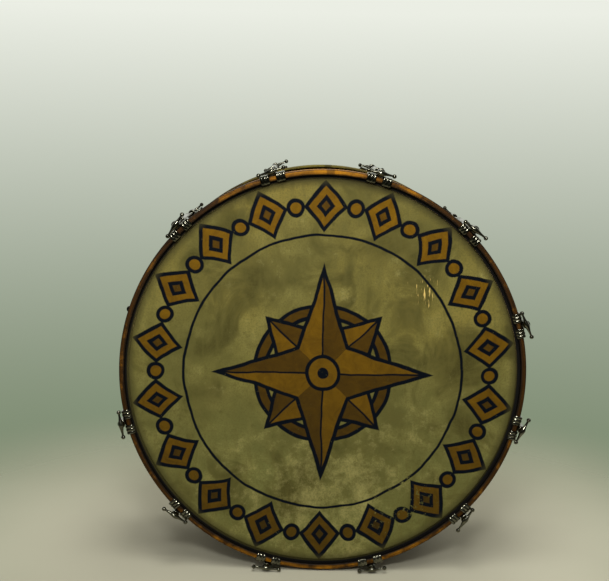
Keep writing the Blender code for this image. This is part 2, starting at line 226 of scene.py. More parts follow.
# Stained maple, lacquered by hand: grain lines 1.5 mm apart, drawn out along the bend.
shell_stain = varnished_wood("stained_maple_shell", "#2b150a", "#4d280f", "#6a401c", 1.5 * MM,
                             60 * MM, 0.32)
shell_outline = rounded([(SHELL_RADIUS - SHELL_WALL, -SHELL_HALF_DEPTH),
                         (SHELL_RADIUS, -SHELL_HALF_DEPTH), (SHELL_RADIUS, SHELL_HALF_DEPTH),
                         (SHELL_RADIUS - SHELL_WALL, SHELL_HALF_DEPTH)], SHELL_EDGE_ROUNDING)
shell = surface("shell", placed(turned(divided(shell_outline, SHELL_FACET), ROUND_STEPS), MIDDLE))
drill_low, drill_high = SHELL_RADIUS - 4 * SHELL_WALL, SHELL_RADIUS + SHELL_WALL
drill_profile = [(0.0, drill_low), (VENT_HOLE_RADIUS, drill_low), (VENT_HOLE_RADIUS, drill_high),
                 (0.0, drill_high)]
above_axis = Matrix.Translation((0, 0, AXIS_HEIGHT))
drill = surface("drill", placed(turned(drill_profile, 32), above_axis))
cut = shell.modifiers.new("vent_hole", "BOOLEAN")
cut.operation = "DIFFERENCE"
cut.object = drill
drilled = bpy.data.meshes.new_from_object(shell.evaluated_get(bpy.context.evaluated_depsgraph_get()))
shell.modifiers.remove(cut)
shell.data = drilled
bpy.data.objects.remove(drill)
fix(shell, shell_stain, "shell_wood", "drum", "shell_and_lugs")


# Reinforcing rings and flesh hoops: plain maple hoops that never show. The rings are glued inside
# the shell's edges, and the flesh hoops lie in the laps of the heads. They keep their CAD shape.
bare_maple = varnished_wood("bare_maple", "#8a6a3e", "#ab8a58", "#c4a876", 2.0 * MM, 70 * MM, 0.6)
for end in ("front", "rear"):
    for hoop in ("_reinforcing_ring", "_flesh_hoop"):
        hidden = frame["nodes"][end + hoop].data
        hidden.materials.clear()
        hidden.materials.append(bare_maple)


# Air vent: a brass eyelet, rolled over on both sides of its hole in the shell. The air between the
# heads leaves by it when the drum is struck.
VENT_TUBE_WALL = 0.9 * MM
VENT_LIP = 3.4 * MM
VENT_LIP_FALL = 0.2 * MM
VENT_LIP_THICKNESS = 0.8 * MM
VENT_GAP = 0.35 * MM
VENT_SEAT = 0.1 * MM


def metal(name, dark, light, tarnish, speck, roughness):
    """Plated or cast metal that has dulled: clouds of tarnish, fine pits, and a sheen that varies."""
    material, tree, shader, centred = new_material(name)
    clouds = add_node(tree, "TexNoise", centred, scale=0.35 / speck, detail=5.0, roughness=0.65)
    pits = add_node(tree, "TexNoise", centred, scale=1.0 / speck, detail=3.0, roughness=0.7)
    colour = blend(tree, dark, light, clouds, 0.35, 0.65)
    colour = blend(tree, colour, tarnish, pits, 0.58, 0.78)
    tree.links.new(colour, shader.inputs["Base Color"])
    shader.inputs["Metallic"].default_value = 1.0
    gloss = add_node(tree, "MapRange", clouds, 0.3, 0.7, roughness, roughness + 0.10)
    tree.links.new(gloss, shader.inputs["Roughness"])
    bump = add_node(tree, "Bump", height=pits, distance=0.03 * MM, strength=0.12)
    tree.links.new(bump, shader.inputs["Normal"])
    return material


# Rolled brass gone brown in its hollows, with spots of tarnish about 2 mm wide.
eyelet_brass = metal("tarnished_brass", "#7d6330", "#a98943", "#3e3018", 2.0 * MM, 0.3)
tube_outside = VENT_HOLE_RADIUS - VENT_GAP
tube_inside = tube_outside - VENT_TUBE_WALL
outer_edge = VENT_HOLE_RADIUS + VENT_LIP
inner_edge = outer_edge - MM
outer_seat, inner_seat = SHELL_RADIUS + VENT_SEAT, SHELL_RADIUS - SHELL_WALL - VENT_SEAT
vent_foot, vent_top = [corner.z - AXIS_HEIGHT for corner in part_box("air_vent")]
vent_outline = [
    (tube_inside, vent_top), (outer_edge, vent_top - VENT_LIP_FALL), (outer_edge, outer_seat),
    (tube_outside, outer_seat), (tube_outside, inner_seat), (inner_edge, inner_seat),
    (inner_edge, inner_seat - VENT_LIP_THICKNESS), (tube_inside, vent_foot)]
vent = surface("air_vent_eyelet", placed(turned(rounded(vent_outline, VENT_TUBE_WALL), 48), above_axis))
fix(vent, eyelet_brass, "brass", "drum", "air_vent")


# Tube lugs: cast tubes on two posts each, nickel plated, that take a rod from each end. A screw
# through the shell holds each post, and the screws' round heads are inside.
TUBE_RADIUS = 6.35 * MM
TUBE_WAIST = 5.7 * MM
TUBE_HALF = 58.0 * MM
TUBE_BORE = 3.7 * MM
TUBE_ROUNDING = 1.2 * MM
BEAD = 3.2 * MM
POST_OFFSET = 38.0 * MM
POST_RADIUS = 4.3 * MM
POST_WAIST = 3.5 * MM
POST_ROUNDING = 1.5 * MM
BASE_RADIUS = 8.5 * MM
BASE_THICKNESS = 2.4 * MM
BASE_SUNK = 0.5 * MM
SCREW_RADIUS = 4.6 * MM
SCREW_DOME = 2.5 * MM
FIRST_ROD_ANGLE = 15.0
ROD_COUNT = 12
ROD_STEP = 360.0 / ROD_COUNT
rod_joints = {joint["child"]: joint for joint in frame["joints"] if joint["type"] == "hinge"}
first_rod = rod_joints["front_thumb_rod_01"]["pos_m"]
ROD_CIRCLE = math.hypot(first_rod[0], first_rod[2] - AXIS_HEIGHT)


def rim_matrix(angle, radius=ROD_CIRCLE):
    """A place on a circle round Z, with its own +Y away from the middle."""
    spot = Matrix.Rotation(math.radians(angle - 90.0), 4, "Z")
    return spot @ Matrix.Translation((0, radius, 0))


# Nickel plate worn thin and dulled to a dark green grey. Spots of tarnish are about 3 mm wide,
# wider than the real ones, which are too fine to show.
tarnished_nickel = metal("tarnished_nickel_plate", "#4d4c41", "#7a7868", "#22221b", 3.0 * MM, 0.12)
half_tube = [(TUBE_BORE, TUBE_HALF), (TUBE_RADIUS, TUBE_HALF), (TUBE_RADIUS, TUBE_HALF - BEAD),
             (TUBE_WAIST, TUBE_HALF - 1.5 * BEAD), (TUBE_WAIST, POST_OFFSET + BEAD),
             (TUBE_RADIUS, POST_OFFSET), (TUBE_WAIST, POST_OFFSET - BEAD)]
tube_outline = half_tube + [(radius, -height) for radius, height in reversed(half_tube)]
tube_grid = turned(rounded(tube_outline, TUBE_ROUNDING), 28)
seat = SHELL_RADIUS - ROD_CIRCLE
post_profile = rounded([(0.0, seat - BASE_SUNK), (BASE_RADIUS, seat - BASE_SUNK),
                        (BASE_RADIUS, seat + BASE_THICKNESS), (POST_RADIUS, seat + 1.6 * BASE_THICKNESS),
                        (POST_WAIST, seat / 2), (POST_RADIUS, -TUBE_WAIST), (0.0, -TUBE_BORE)],
                       POST_ROUNDING, closed=False)
screw_angle = np.linspace(0.0, np.pi / 2, 7)
screw_profile = np.stack((SCREW_RADIUS * np.sin(screw_angle),
                          seat - SHELL_WALL - SCREW_DOME * np.cos(screw_angle)), axis=-1)
screw_profile = np.vstack((screw_profile, [[0.0, seat - SHELL_WALL]]))
OUTWARD = Matrix.Rotation(-math.pi / 2, 4, "X")
for number in range(ROD_COUNT):
    spot = MIDDLE @ rim_matrix(FIRST_ROD_ANGLE + ROD_STEP * number)
    posts = [spot @ Matrix.Translation((0, 0, end * POST_OFFSET)) @ OUTWARD for end in (-1, 1)]
    lug = surface(f"tube_lug_{number + 1:02d}", placed(tube_grid, spot),
                  *[placed(turned(post_profile, 28), post) for post in posts])
    fix(lug, tarnished_nickel, "nickel_plate", "drum")
    screws = surface(f"lug_screws_{number + 1:02d}",
                     *[placed(turned(screw_profile, 20), post) for post in posts])
    fix(screws, tarnished_nickel, "nickel_plate", "drum")


# Heads: calfskin, soaked and lapped round the flesh hoop, which dries flat and tight over the
# shell's edge. Age has turned it olive brown. The skin beside the hoop is darkened as a painted
# shadow of the hoop, and the groove round it is painted near black, as shade with some grime. The
# marks on it are given by X, height above the axis, inner reach and outer reach.
SKIN = 0.6 * MM
SKIN_BEND = 3.2 * MM
HEAD_FALL = 8.3 * MM
SKIRT_RADIUS = SHELL_RADIUS + 0.6 * MM
LAP_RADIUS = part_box("front_head")[1].x - SKIN / 2
LAP_TOP = -11.9 * MM
LAP_BOTTOM = -24.1 * MM
TUCK_RADIUS = 356.8 * MM
GROOVE_RADIUS = SHELL_RADIUS + 2.8 * MM
SHADE_SHIFT = (1.1 * MM, 0.0, 1.0 * MM)
HOOP_SHADOW_FADE = 17 * MM
SCUFFED = (20 * MM, -240 * MM, 60 * MM, 260 * MM)
SCRATCHED = (185 * MM, 155 * MM, 12 * MM, 52 * MM)
SMUDGED = [(-210 * MM, -50 * MM, 14 * MM, 70 * MM), (-120 * MM, 180 * MM, 16 * MM, 80 * MM),
           (120 * MM, 240 * MM, 16 * MM, 80 * MM), (-50 * MM, -230 * MM, 15 * MM, 75 * MM),
           (240 * MM, 20 * MM, 18 * MM, 90 * MM)]
FRONT_END = Matrix.Translation((0, -HOOP_FACE, 0)) @ MIDDLE
REAR_END = Matrix.Rotation(math.pi, 4, "Z") @ FRONT_END


def both_sides(path, thickness):
    """The outline of a sheet: a path moved half the thickness to one side and back on the other."""
    run = np.gradient(path, axis=0)
    across = np.stack((-run[:, 1], run[:, 0]), axis=-1) / np.linalg.norm(run, axis=1, keepdims=True)
    across[0] = (0.0, 1.0)
    return np.vstack((path + across * thickness / 2, (path - across * thickness / 2)[::-1]))


def near(tree, centred, x, z, inner, outer):
    """One within the inner distance of a line along the drum's axis, falling to zero at the outer."""
    moved = add_node(tree, "VectorMath", centred, (x, 0.0, z), operation="SUBTRACT")
    return add_node(tree, "MapRange", from_axis(tree, moved), inner, outer, 1.0, 0.0)


def calfskin(name):
    """Old calfskin: olive clouds a hand wide, lighter and more golden towards the top, which is partly
    painted light from above, with smaller blotches, brown smudges and slanting strokes over them.
    It is scuffed pale at its foot with dark veins between, a fine grain dents it, and it has a patch of
    scratches."""
    material, tree, shader, centred = new_material(name)
    clouds = add_node(tree, "TexNoise", centred, scale=5.5, detail=3.0, roughness=0.5)
    blotches = add_node(tree, "TexNoise", centred, scale=22.0, detail=6.0, roughness=0.55)
    smudges = add_node(tree, "TexNoise", centred, scale=9.0, detail=5.0, roughness=0.6, distortion=0.8)
    scuffs = add_node(tree, "TexNoise", centred, scale=48.0, detail=9.0, roughness=0.75)
    grain = add_node(tree, "TexNoise", centred, scale=300.0, detail=3.0, roughness=0.7)
    height = add_node(tree, "SeparateXYZ", centred).node.outputs["Z"]
    # Painted light from above: the skin turns lighter and more golden the higher it lies.
    golden_and_painted_light = add_node(tree, "Math", clouds, 0.6, height, operation="MULTIPLY_ADD")
    tint = blend(tree, "#636335", "#7c6f33", golden_and_painted_light, 0.15, 0.60)
    colour = blend(tree, "#504c25", tint, clouds, 0.26, 0.60)
    colour = blend(tree, colour, "#7b7541", blotches, 0.45, 0.95)
    colour = blend(tree, colour, "#45411c", smudges, 0.47, 0.80)
    for mark in SMUDGED:
        spot = add_node(tree, "Math", near(tree, centred, *mark), 0.45, smudges, operation="MULTIPLY_ADD")
        colour = blend(tree, colour, "#3f3b19", spot, 0.55, 1.10)
    strokes = add_node(tree, "Mapping", centred, rotation=(0.0, 0.9, 0.0), scale=(90.0, 1.0, 22.0))
    strokes = add_node(tree, "TexNoise", strokes, scale=1.0, detail=4.0, distortion=0.6)
    colour = blend(tree, colour, "#59542a", strokes, 0.48, 0.95)
    scuffed = near(tree, centred, *SCUFFED)
    rubbed = add_node(tree, "Math", scuffed, 0.18, scuffs, operation="MULTIPLY_ADD")
    rubbed = add_node(tree, "Math", blotches, 0.55, rubbed, operation="MULTIPLY_ADD")
    colour = blend(tree, colour, "#968f58", rubbed, 0.89, 1.31)
    colour = blend(tree, "#47431f", colour, scuffs, 0.24, 0.44)
    colour = blend(tree, colour, "#514c27", grain, 0.45, 0.85)
    streaks = add_node(tree, "Mapping", centred, scale=(420.0, 1.0, 50.0))
    streaks = add_node(tree, "TexNoise", streaks, scale=1.0, detail=2.0)
    scratched = near(tree, centred, *SCRATCHED)
    scratches = add_node(tree, "Math", scratched, 0.23, streaks, operation="MULTIPLY_ADD")
    colour = blend(tree, colour, "#d6b869", scratches, 0.79, 0.91)
    gloss = add_node(tree, "MapRange", blotches, 0.3, 0.7, 0.5, 0.68)
    tree.links.new(gloss, shader.inputs["Roughness"])
    shader.inputs["Specular IOR Level"].default_value = 0.06
    dents = add_node(tree, "Bump", height=clouds, distance=1.5 * MM, strength=0.3)
    dents = add_node(tree, "Bump", height=grain, distance=0.12 * MM, strength=0.4, normal=dents)
    tree.links.new(dents, shader.inputs["Normal"])
    return material, tree, shader, centred, colour


def paint_groove_shade(tree, shader, centred, colour):
    """Darkens the skin beside the hoop as a painted shadow of the hoop, and paints the shade down in
    the groove near black, with some grime, most at the top right.
    """
    shifted = add_node(tree, "VectorMath", centred, SHADE_SHIFT, operation="ADD")
    radius = from_axis(tree, shifted)
    # Painted shadow of the hoop over the last 17 mm of skin before the groove.
    colour = blend(tree, colour, "#37331a", radius, GROOVE_RADIUS - HOOP_SHADOW_FADE, GROOVE_RADIUS)
    # Painted shade, near black, down in the groove.
    colour = blend(tree, colour, "#121110", radius, GROOVE_RADIUS - MM, GROOVE_RADIUS + MM)
    tree.links.new(colour, shader.inputs["Base Color"])


# The front head's paint: a plain compass star and a border of lozenges and discs, brushed by hand
# in ochre with navy outlines. The strokes wander by about 2 mm, and the paint has flaked.
OUTLINE = 6.8 * MM
BRUSH_EDGE = 0.7 * MM
BRUSH_DRIFT = 9.0 * MM
NAVY = "#040910"
BORDER_RADIUS = 307.0 * MM
BORDER_UNITS = 18
LOZENGE = (35.0 * MM, 42.0 * MM)
INNER_LOZENGE = (12.0 * MM, 15.0 * MM)
DISC_RADIUS = 13.0 * MM
BORDER_LINE = 254.0 * MM
LONG_POINTS = (192.0 * MM, 46.0 * MM)
SHORT_POINTS = (144.0 * MM, 54.0 * MM)
RING_RADIUS = 116.0 * MM
RING_HALF_WIDTH = 10.0 * MM
HUB_RADIUS = 30.0 * MM
CHIPPED = (150 * MM, -240 * MM, 20 * MM, 110 * MM)
# Height over which the paint goes from darker at the foot to lighter at the top, a painted sheen.
PAINT_SHEEN_SPAN = 340.0 * MM


def apart(tree, value, middle):
    """How far a value lies from a middle one, on either side of it."""
    away = add_node(tree, "Math", value, middle, operation="SUBTRACT")
    return add_node(tree, "Math", away, operation="ABSOLUTE")


def painted(tree, below, distance, fill):
    """A painted shape over what lies below it: the fill where the distance is under zero, and a
    navy outline along zero."""
    colour = blend(tree, fill, below, distance, -BRUSH_EDGE, BRUSH_EDGE)
    line = add_node(tree, "Math", distance, operation="ABSOLUTE")
    return blend(tree, NAVY, colour, line, OUTLINE / 2 - BRUSH_EDGE, OUTLINE / 2 + BRUSH_EDGE)


def lozenge(tree, along, across, half_sizes):
    """Distance to a lozenge: the sum of both offsets, each as a share of its half size, less one,
    times the distance from its middle to a side."""
    wide, tall = half_sizes
    first = add_node(tree, "Math", along, 1 / wide, -1.0, operation="MULTIPLY_ADD")
    total = add_node(tree, "Math", across, 1 / tall, first, operation="MULTIPLY_ADD")
    return add_node(tree, "Math", total, wide * tall / math.hypot(wide, tall), operation="MULTIPLY")


def star(tree, below, radius, turns, shift, sizes, paints):
    """Four points round the middle, painted light on one side and dark on the other. Folded into
    an eighth turn, each edge is a straight line from the tip to the valley beside it."""
    tip, valley = sizes
    point = add_node(tree, "Math", turns, 4.0, shift, operation="MULTIPLY_ADD")
    point = add_node(tree, "Math", point, operation="FRACT")
    side = add_node(tree, "Math", point, 0.5, operation="SUBTRACT")
    folded = add_node(tree, "Math", side, operation="ABSOLUTE")
    angle = add_node(tree, "Math", folded, math.pi / 2, operation="MULTIPLY")
    cosine = add_node(tree, "Math", angle, operation="COSINE")
    sine = add_node(tree, "Math", angle, operation="SINE")
    along = add_node(tree, "Math", cosine, radius, operation="MULTIPLY")
    across = add_node(tree, "Math", sine, radius, operation="MULTIPLY")
    length = math.hypot(valley, tip - valley)
    edge = add_node(tree, "Math", across, (tip - valley) / length, -tip * valley / length,
                    operation="MULTIPLY_ADD")
    distance = add_node(tree, "Math", along, valley / length, edge, operation="MULTIPLY_ADD")
    fill = blend(tree, *paints, side, -0.001, 0.001)
    fill = blend(tree, NAVY, fill, across, OUTLINE / 4 - BRUSH_EDGE, OUTLINE / 4 + BRUSH_EDGE)
    return painted(tree, below, distance, fill)


def brushed_with_painted_sheen(tree, brush, height, foot, top):
    """Paint whose strokes vary between a dark and a light colour, both darker towards the drum's foot
    and lighter towards its top, as a painted sheen of light from above.
    """
    dark, light = [blend(tree, *pair, height, -PAINT_SHEEN_SPAN, PAINT_SHEEN_SPAN) for pair in zip(foot, top)]
    return blend(tree, dark, light, brush, 0.30, 0.70)


def add_painting(tree, centred, ground):
    """The painting on the hide: a ring, a small and a large star and a hub, then the border, whose
    units are a lozenge and a disc in turn, a line inside it, and flakes that show the hide."""
    drift = add_node(tree, "TexNoise", centred, scale=16.0, detail=2.0).node.outputs["Color"]
    drift = add_node(tree, "VectorMath", drift, (0.5, 0.5, 0.5), operation="SUBTRACT")
    drift = add_node(tree, "VectorMath", drift, operation="SCALE", scale=BRUSH_DRIFT)
    moved = add_node(tree, "VectorMath", centred, drift, operation="ADD")
    radius = from_axis(tree, moved)
    ways = add_node(tree, "SeparateXYZ", moved).node.outputs
    angle = add_node(tree, "Math", ways["Z"], ways["X"], operation="ARCTAN2")
    turns = add_node(tree, "Math", angle, 1 / (2 * math.pi), operation="MULTIPLY")
    brush = add_node(tree, "TexNoise", moved, scale=38.0, detail=6.0, roughness=0.7, distortion=1.2)
    height = add_node(tree, "SeparateXYZ", centred).node.outputs["Z"]
    # The paints darken towards the foot and lighten towards the top: a painted sheen of light from above.
    ochre = brushed_with_painted_sheen(tree, brush, height, ("#3b2c0a", "#4c380b"), ("#5b4006", "#735308"))
    umber = brushed_with_painted_sheen(tree, brush, height, ("#2a1f0a", "#372a0a"), ("#402c05", "#533a06"))

    ring = apart(tree, radius, RING_RADIUS)
    ring = add_node(tree, "Math", ring, RING_HALF_WIDTH, operation="SUBTRACT")
    colour = painted(tree, ground, ring, umber)
    colour = star(tree, colour, radius, turns, 0.0, SHORT_POINTS, (umber, ochre))
    colour = star(tree, colour, radius, turns, 0.5, LONG_POINTS, (umber, ochre))
    hub = add_node(tree, "Math", radius, HUB_RADIUS, operation="SUBTRACT")
    colour = painted(tree, colour, hub, ochre)
    core = add_node(tree, "Math", radius, HUB_RADIUS / 3, operation="SUBTRACT")
    colour = blend(tree, NAVY, colour, core, -BRUSH_EDGE, BRUSH_EDGE)

    unit = add_node(tree, "Math", turns, float(BORDER_UNITS), operation="MULTIPLY")
    unit = add_node(tree, "Math", unit, operation="FRACT")
    unit_length = 2 * math.pi * BORDER_RADIUS / BORDER_UNITS
    along = add_node(tree, "Math", apart(tree, unit, 0.5), unit_length, operation="MULTIPLY")
    across = apart(tree, radius, BORDER_RADIUS)
    colour = painted(tree, colour, lozenge(tree, along, across, LOZENGE), ochre)
    colour = painted(tree, colour, lozenge(tree, along, across, INNER_LOZENGE), umber)
    to_disc = add_node(tree, "Math", along, unit_length / 2, operation="SUBTRACT")
    reach = add_node(tree, "CombineXYZ", to_disc, across)
    reach = add_node(tree, "VectorMath", reach, operation="LENGTH")
    disc = add_node(tree, "Math", reach, DISC_RADIUS, operation="SUBTRACT")
    colour = painted(tree, colour, disc, ochre)
    line = apart(tree, radius, BORDER_LINE)
    colour = blend(tree, NAVY, colour, line, OUTLINE / 4, OUTLINE / 4 + 2 * BRUSH_EDGE)

    flakes = add_node(tree, "TexNoise", centred, scale=130.0, detail=6.0, roughness=0.8)
    flakes = add_node(tree, "Math", near(tree, centred, *CHIPPED), 0.09, flakes, operation="MULTIPLY_ADD")
    return blend(tree, colour, ground, flakes, 0.64, 0.70)


skin_path = rounded([(0.0, -HEAD_FALL), (SKIRT_RADIUS, -HEAD_FALL), (SKIRT_RADIUS, LAP_BOTTOM),
                     (LAP_RADIUS, LAP_BOTTOM), (LAP_RADIUS, LAP_TOP), (TUCK_RADIUS, LAP_TOP)],
                    SKIN_BEND, closed=False)
skin_grid = turned(both_sides(skin_path, SKIN), ROUND_STEPS)
painted_hide, tree, shader, centred, ground = calfskin("aged_calfskin_painted")
paint_groove_shade(tree, shader, centred, add_painting(tree, centred, ground))
plain_hide, tree, shader, centred, ground = calfskin("aged_calfskin")
paint_groove_shade(tree, shader, centred, ground)
front_head = surface("front_calfskin_head", placed(skin_grid, FRONT_END))
fix(front_head, painted_hide, "calfskin", "drum", "front_head")
rear_head = surface("rear_calfskin_head", placed(skin_grid, REAR_END))
fix(rear_head, plain_hide, "calfskin", "drum", "rear_head")


# Counterhoops: bent maple hoops with a worn brown lacquer, rabbeted inside so that their lips
# press the lapped heads down. The claws hold them.
HOOP_THICKNESS = 9.7 * MM
HOOP_WIDTH = 1.5 * INCH
RABBET_WALL = 4.6 * MM
LIP_DEPTH = 11.3 * MM
HOOP_EDGE_ROUNDING = 2.0 * MM
JOINT_LENGTH = 15.5 * MM
JOINT_BLUR = 1.0 * MM
JOINT_SHADE = 0.55
HOOP_INNER = HOOP_RADIUS - HOOP_THICKNESS


def lacquer_with_wear_and_painted_light(name, dark, brown, worn, bright):
    """Brown lacquer over maple: dark streaks 1.2 mm wide along the bend, patches where hands have
    worn it thin, lighter still along the top and a little along the foot as painted light from
    above, painted shade near black inside the hoop, its outer front corner darker, and the darker
    band of the scarf joint at the very top."""
    material, tree, shader, centred = new_material(name)
    grain = grain_round_the_drum(tree, centred, 1.2 * MM, 50 * MM)
    patches = add_node(tree, "TexNoise", centred, scale=30.0, detail=5.0, roughness=0.65)
    ways = add_node(tree, "SeparateXYZ", centred).node.outputs
    height = ways["Z"]
    # Painted light from above: the lacquer turns lighter along the top of the hoop and a little along its
    # foot.
    top = add_node(tree, "MapRange", height, 0.82 * HOOP_RADIUS, HOOP_RADIUS, 0.0, 0.36)
    low = add_node(tree, "MapRange", height, -HOOP_RADIUS, -0.6 * HOOP_RADIUS, 0.16, 0.0)
    wear_and_painted_light = add_node(tree, "Math", top, low, operation="ADD")
    wear_and_painted_light = add_node(tree, "Math", wear_and_painted_light, patches, operation="ADD")
    colour = blend(tree, dark, brown, grain, 0.36, 0.60)
    thin = blend(tree, worn, bright, grain, 0.34, 0.62)
    colour = blend(tree, colour, thin, wear_and_painted_light, 0.55, 0.90)
    radius = from_axis(tree, centred)
    # Painted shade: near black inside the hoop's lip, fading out over 4 mm of its face.
    colour = blend(tree, "#0a0806", colour, radius, HOOP_INNER + 0.3 * MM, HOOP_INNER + 4.2 * MM)
    joint = add_node(tree, "MapRange", height, 0.0, MM, 0.0, JOINT_SHADE)
    for edge, inside, outside in ((JOINT_LENGTH, 1.0, 0.0), (JOINT_BLUR, 0.0, 1.0)):
        fade = add_node(tree, "MapRange", ways["X"], edge - JOINT_BLUR, edge + JOINT_BLUR, inside, outside)
        joint = add_node(tree, "Math", joint, fade, operation="MULTIPLY")
    colour = blend(tree, colour, dark, joint)
    corner = add_node(tree, "MapRange", radius, HOOP_RADIUS - 1.8 * MM, HOOP_RADIUS - 0.6 * MM, 0.0, 1.0)
    depth = add_node(tree, "Math", ways["Y"], operation="ABSOLUTE")
    face = add_node(tree, "MapRange", depth, HOOP_FACE - 2.4 * MM, HOOP_FACE - 1.2 * MM, 0.0, 1.0)
    colour = blend(tree, colour, "#1a110a", add_node(tree, "Math", corner, face, operation="MULTIPLY"))
    tree.links.new(colour, shader.inputs["Base Color"])
    gloss = add_node(tree, "MapRange", patches, 0.3, 0.7, 0.4, 0.6)
    tree.links.new(gloss, shader.inputs["Roughness"])
    shader.inputs["Specular IOR Level"].default_value = 0.12
    bump = add_node(tree, "Bump", height=grain, distance=0.3 * MM, strength=0.5)
    tree.links.new(bump, shader.inputs["Normal"])
    return material


# Lacquer worn to orange in patches, and lighter along the front hoop's top as painted light from
# above. The rear hoop is darker and more olive: a copy of the same lacquer with painted shade as well as
# dirt.
front_lacquer = lacquer_with_wear_and_painted_light("worn_brown_hoop_lacquer", "#190e02", "#3e2503", "#683f05", "#b0750a")
rear_lacquer = lacquer_with_wear_and_painted_light("dull_olive_hoop_lacquer", "#1a1408", "#38290c", "#4a4216", "#6b622a")
rabbet = HOOP_RADIUS - RABBET_WALL
hoop_outline = rounded([(HOOP_RADIUS, 0.0), (HOOP_RADIUS, -HOOP_WIDTH), (rabbet, -HOOP_WIDTH),
                        (rabbet, -LIP_DEPTH), (HOOP_INNER, -LIP_DEPTH), (HOOP_INNER, 0.0)],
                       HOOP_EDGE_ROUNDING)
hoop_grid = turned(hoop_outline, ROUND_STEPS)
for side, end, lacquer in (("front", FRONT_END, front_lacquer), ("rear", REAR_END, rear_lacquer)):
    hoop = surface(side + "_wooden_hoop", placed(hoop_grid, end))
    fix(hoop, lacquer, "hoop_wood", "drum", side + "_counterhoop")


# Claws: cast double claws, nickel plated. Two ribbed prongs hook over the hoop's edge from a plate
# beside it, which carries a collar for the rod. Each claw is held only by its rod.
FIT = 0.3 * MM
STRAP = 4.0 * MM
PRONG_HALF_WIDTH = 8.7 * MM
PRONG_OFFSET = 14.4 * MM
RIB_SPACING = 6.2 * MM
RIB_DEPTH = 0.30
CROSS_FALL = 0.10
EDGE_START = 0.88
EDGE_FALL = 0.85
PRONG_STEPS = 64
TIP_THICKNESS = 2.2 * MM
TIP_DEPTH = 2.6 * MM
TIP_ROUNDING = 7.5 * MM
TIP_NARROWING = 0.9
HOOK_GAP = 1.5 * MM
TOP_BEND = 8.0 * MM
INSIDE_BEND = 0.8 * MM
CROWN_OUTSIDE = 1.5 * MM
CROWN_INSIDE = 2.6 * MM
COLLAR_RADIUS = 7.5 * MM
COLLAR_WAIST = 7.0 * MM
COLLAR_BORE = 3.7 * MM
COLLAR_LENGTH = 24.0 * MM
COLLAR_PROUD = 3.6 * MM
COLLAR_BEAD = 1.5 * MM
COLLAR_FOOT = 2.0 * MM
PLATE_FRONT = 7.0 * MM
PLATE_SHARE = 0.85
SCALLOP = 1.5 * MM
BACK_CURVE = 4.5 * MM


def capped(grid):
    """A grid with each end of its rows drawn together into a pole."""
    poles = [0 * grid[:, [end]] + grid[:, [end]].mean(axis=0) for end in (0, -1)]
    return np.concatenate((poles[0], grid, poles[1]), axis=1)


def evenly(path, count):
    """A path of that many points, spaced by the number of the path's own points."""
    place = np.linspace(0, len(path) - 1, count)
    return np.stack([np.interp(place, np.arange(len(path)), column) for column in path.T], axis=-1)


def prong(offset):
    """A tongue swept over the hoop. Its inside is flat, and its outside is crowned along the hoop's
    face and has three round ribs, each a parabola across, whose depth is a share of the thickness.
    Near the tip the half width falls as an ellipse does."""
    inner = HOOP_RADIUS + FIT - ROD_CIRCLE
    hoop_edge = HOOP_INNER - HOOK_GAP - ROD_CIRCLE
    outer, top, tip, hook = inner + STRAP, FIT + STRAP, hoop_edge - TIP_THICKNESS, FIT - TIP_DEPTH
    low = PLATE_FRONT / 2 - COLLAR_LENGTH
    crown = ((outer + tip) / 2, top)
    outside = rounded([(outer, low), (outer, top - CROWN_OUTSIDE), crown, (tip, top - CROWN_INSIDE),
                       (tip, hook)], TOP_BEND, 11, False)
    inside = rounded([(inner, low), (inner, FIT), (hoop_edge, FIT), (hoop_edge, hook)], INSIDE_BEND, 9,
                     False)
    outside, inside = evenly(outside, PRONG_STEPS), evenly(inside, PRONG_STEPS)
    steps = np.linalg.norm(np.diff(outside, axis=0), axis=1)
    to_tip = np.append(np.cumsum(steps[::-1])[::-1], 0.0)
    narrowing = np.clip(1 - to_tip / TIP_ROUNDING, 0.0, 1.0) * TIP_NARROWING
    half_width = PRONG_HALF_WIDTH * np.sqrt(1 - narrowing ** 2)
    share = np.linspace(-1.0, 1.0, 37)
    rib = share * PRONG_HALF_WIDTH / RIB_SPACING
    relief = 1.0 - RIB_DEPTH * (2 * (rib - np.round(rib))) ** 2 - CROSS_FALL * share ** 2
    past_edge = np.clip((np.abs(share) - EDGE_START) / (1 - EDGE_START), 0.0, 1.0)
    relief *= np.sqrt(1 - (past_edge * EDGE_FALL) ** 2)
    share = np.append(share, np.linspace(1.0, -1.0, 5))[:, None]
    relief = np.append(relief, np.zeros(5))[:, None, None]
    across = offset + share * half_width
    section = inside + (outside - inside) * relief
    return capped(np.concatenate((across[..., None], section), axis=-1))


def plate():
    """A plate beside the hoop's edge, as wide as both prongs: a rounded box section carried across.
    Its front edge is scalloped, and the ends of its back edge curve forward."""
    inner = HOOP_RADIUS + FIT - ROD_CIRCLE
    half_span = PRONG_OFFSET + PRONG_HALF_WIDTH
    across = np.linspace(-0.985, 0.985, 41)
    front = -PLATE_FRONT - SCALLOP * np.cos(np.pi * across) ** 2
    back = -COLLAR_LENGTH + BACK_CURVE * np.abs(across) ** 3
    corner = np.sqrt(1 - np.clip((np.abs(across) - 0.9) / 0.1, 0.0, 1.0) ** 2) * 0.7 + 0.3
    box = rounded([(0.0, 0.0), (0.0, 1.0), (1.0, 1.0), (1.0, 0.0)], 0.2, 4)[:, None, :]
    thick = inner + box[..., 0] * STRAP * PLATE_SHARE * corner
    deep = back + box[..., 1] * (front - back)
    return capped(np.stack((across * half_span + 0 * deep, thick, deep), axis=-1))


